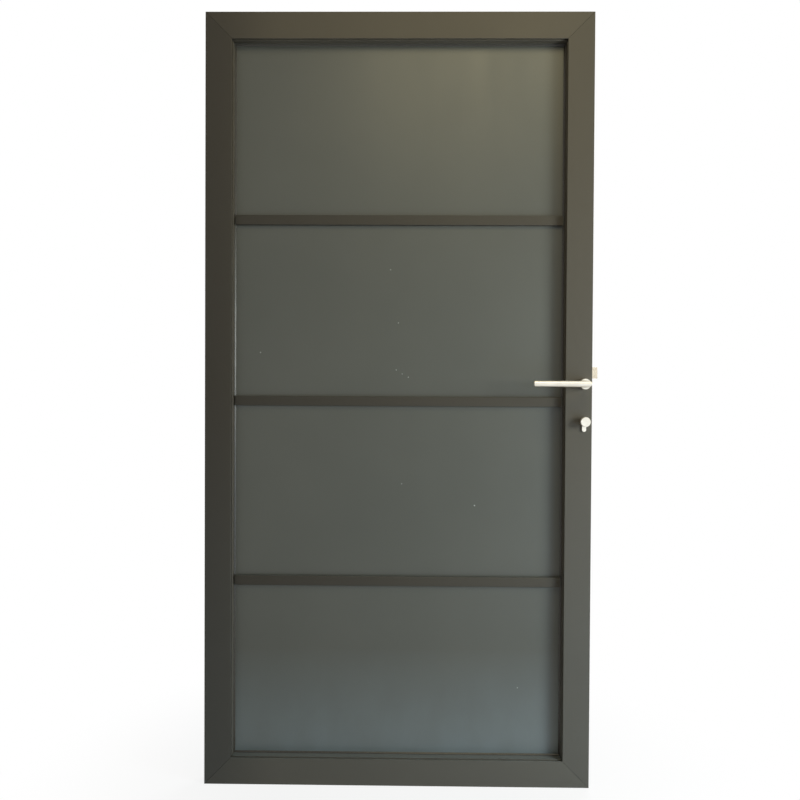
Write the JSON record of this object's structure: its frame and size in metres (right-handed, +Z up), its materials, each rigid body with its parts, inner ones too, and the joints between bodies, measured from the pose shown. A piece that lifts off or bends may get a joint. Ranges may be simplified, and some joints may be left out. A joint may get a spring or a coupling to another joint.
{
  "type": "glass door",
  "caption": "Framed glass door leaf with satin glazing and flat glazing bars, a lever lock with latch and dead bolt, and butt hinges on which it swings.",
  "frame": {"origin": "middle of the leaf's bottom edge, at half the leaf's width and thickness", "axes": "+X towards the lock edge, +Y from the front face (thumb-turn side) to the back face, +Z up"},
  "size_m": [0.9763, 0.156, 1.9],
  "materials": {
    "powder_coat": "dark olive-grey powder coat, fine matt texture",
    "cleat_alloy": "mill",
    "satin_glass": "satin, dark grey-green",
    "gasket_rubber": "matt",
    "block_plastic": "matt",
    "lock_steel": "galvanised",
    "stainless": "brushed",
    "latch_metal": "nickel plated, yellowed",
    "cylinder_brass": "satin"
  },
  "bodies": {
    "hinge_posts": {"hinge_frame_lower": "stainless", "hinge_frame_middle": "stainless", "hinge_frame_upper": "stainless", "hinge_pin_lower": "stainless", "hinge_pin_middle": "stainless", "hinge_pin_upper": "stainless"},
    "leaf": {"hinge_stile": "powder_coat", "lock_stile": "powder_coat", "top_rail": "powder_coat", "bottom_rail": "powder_coat", "bead_bottom": "powder_coat", "bead_left": "powder_coat", "bead_top": "powder_coat", "bead_right": "powder_coat", "front_bar_lower": "powder_coat", "front_bar_middle": "powder_coat", "front_bar_upper": "powder_coat", "rear_bar_lower": "powder_coat", "rear_bar_middle": "powder_coat", "rear_bar_upper": "powder_coat", "cleat_bottom_left": "cleat_alloy", "cleat_top_left": "cleat_alloy", "cleat_top_right": "cleat_alloy", "cleat_bottom_right": "cleat_alloy", "glass_pane": "satin_glass", "front_gasket": "gasket_rubber", "rear_gasket": "gasket_rubber", "setting_blocks": "block_plastic", "hinge_bushes": "block_plastic", "lock_case": "lock_steel", "lock_cover": "lock_steel", "lock_faceplate": "stainless", "faceplate_screws": "stainless", "front_rose": "stainless", "rear_rose": "stainless", "cylinder_body": "stainless", "cylinder_screw": "stainless", "cover_screws": "stainless", "hinge_screws": "stainless", "hinge_leaf_lower": "stainless", "hinge_leaf_middle": "stainless", "hinge_leaf_upper": "stainless", "key_plug": "cylinder_brass"},
    "handle": {"follower": "lock_steel", "spindle": "lock_steel", "front_lever": "stainless", "rear_lever": "stainless", "grub_screws": "lock_steel"},
    "latch": {"latch_bolt": "latch_metal"},
    "knob": {"thumb_knob": "stainless", "cylinder_cam": "cylinder_brass"},
    "bolt": {"dead_bolt": "stainless"}
  },
  "joints": [
    {"name": "leaf_swing", "type": "hinge", "parent": "hinge_posts", "child": "leaf", "pos_m": [-0.47575, 0.0321, 0.95], "axis": [0, 0, 1], "range_deg": [0, 170]},
    {"name": "lever_turn", "type": "hinge", "parent": "leaf", "child": "handle", "pos_m": [0.455, 0, 0.995], "axis": [0, -1, 0], "range_deg": [0, 45], "stiffness_Nm_per_rad": 1.5, "springref_deg": -28.65},
    {"name": "latch_slide", "type": "slide", "parent": "leaf", "child": "latch", "axis": [-1, 0, 0], "range_m": [0, 0.019]},
    {"name": "knob_turn", "type": "hinge", "parent": "leaf", "child": "knob", "pos_m": [0.455, 0, 0.903], "axis": [0, 1, 0], "range_deg": [0, 360]},
    {"name": "bolt_slide", "type": "slide", "parent": "leaf", "child": "bolt", "axis": [1, 0, 0], "range_m": [0, 0.02]}
  ],
  "couplings": [
    {"joint": "latch_slide", "follows": "lever_turn", "m_per_rad": 0.024191},
    {"joint": "bolt_slide", "follows": "knob_turn", "m_per_rad": 0.003183}
  ]
}
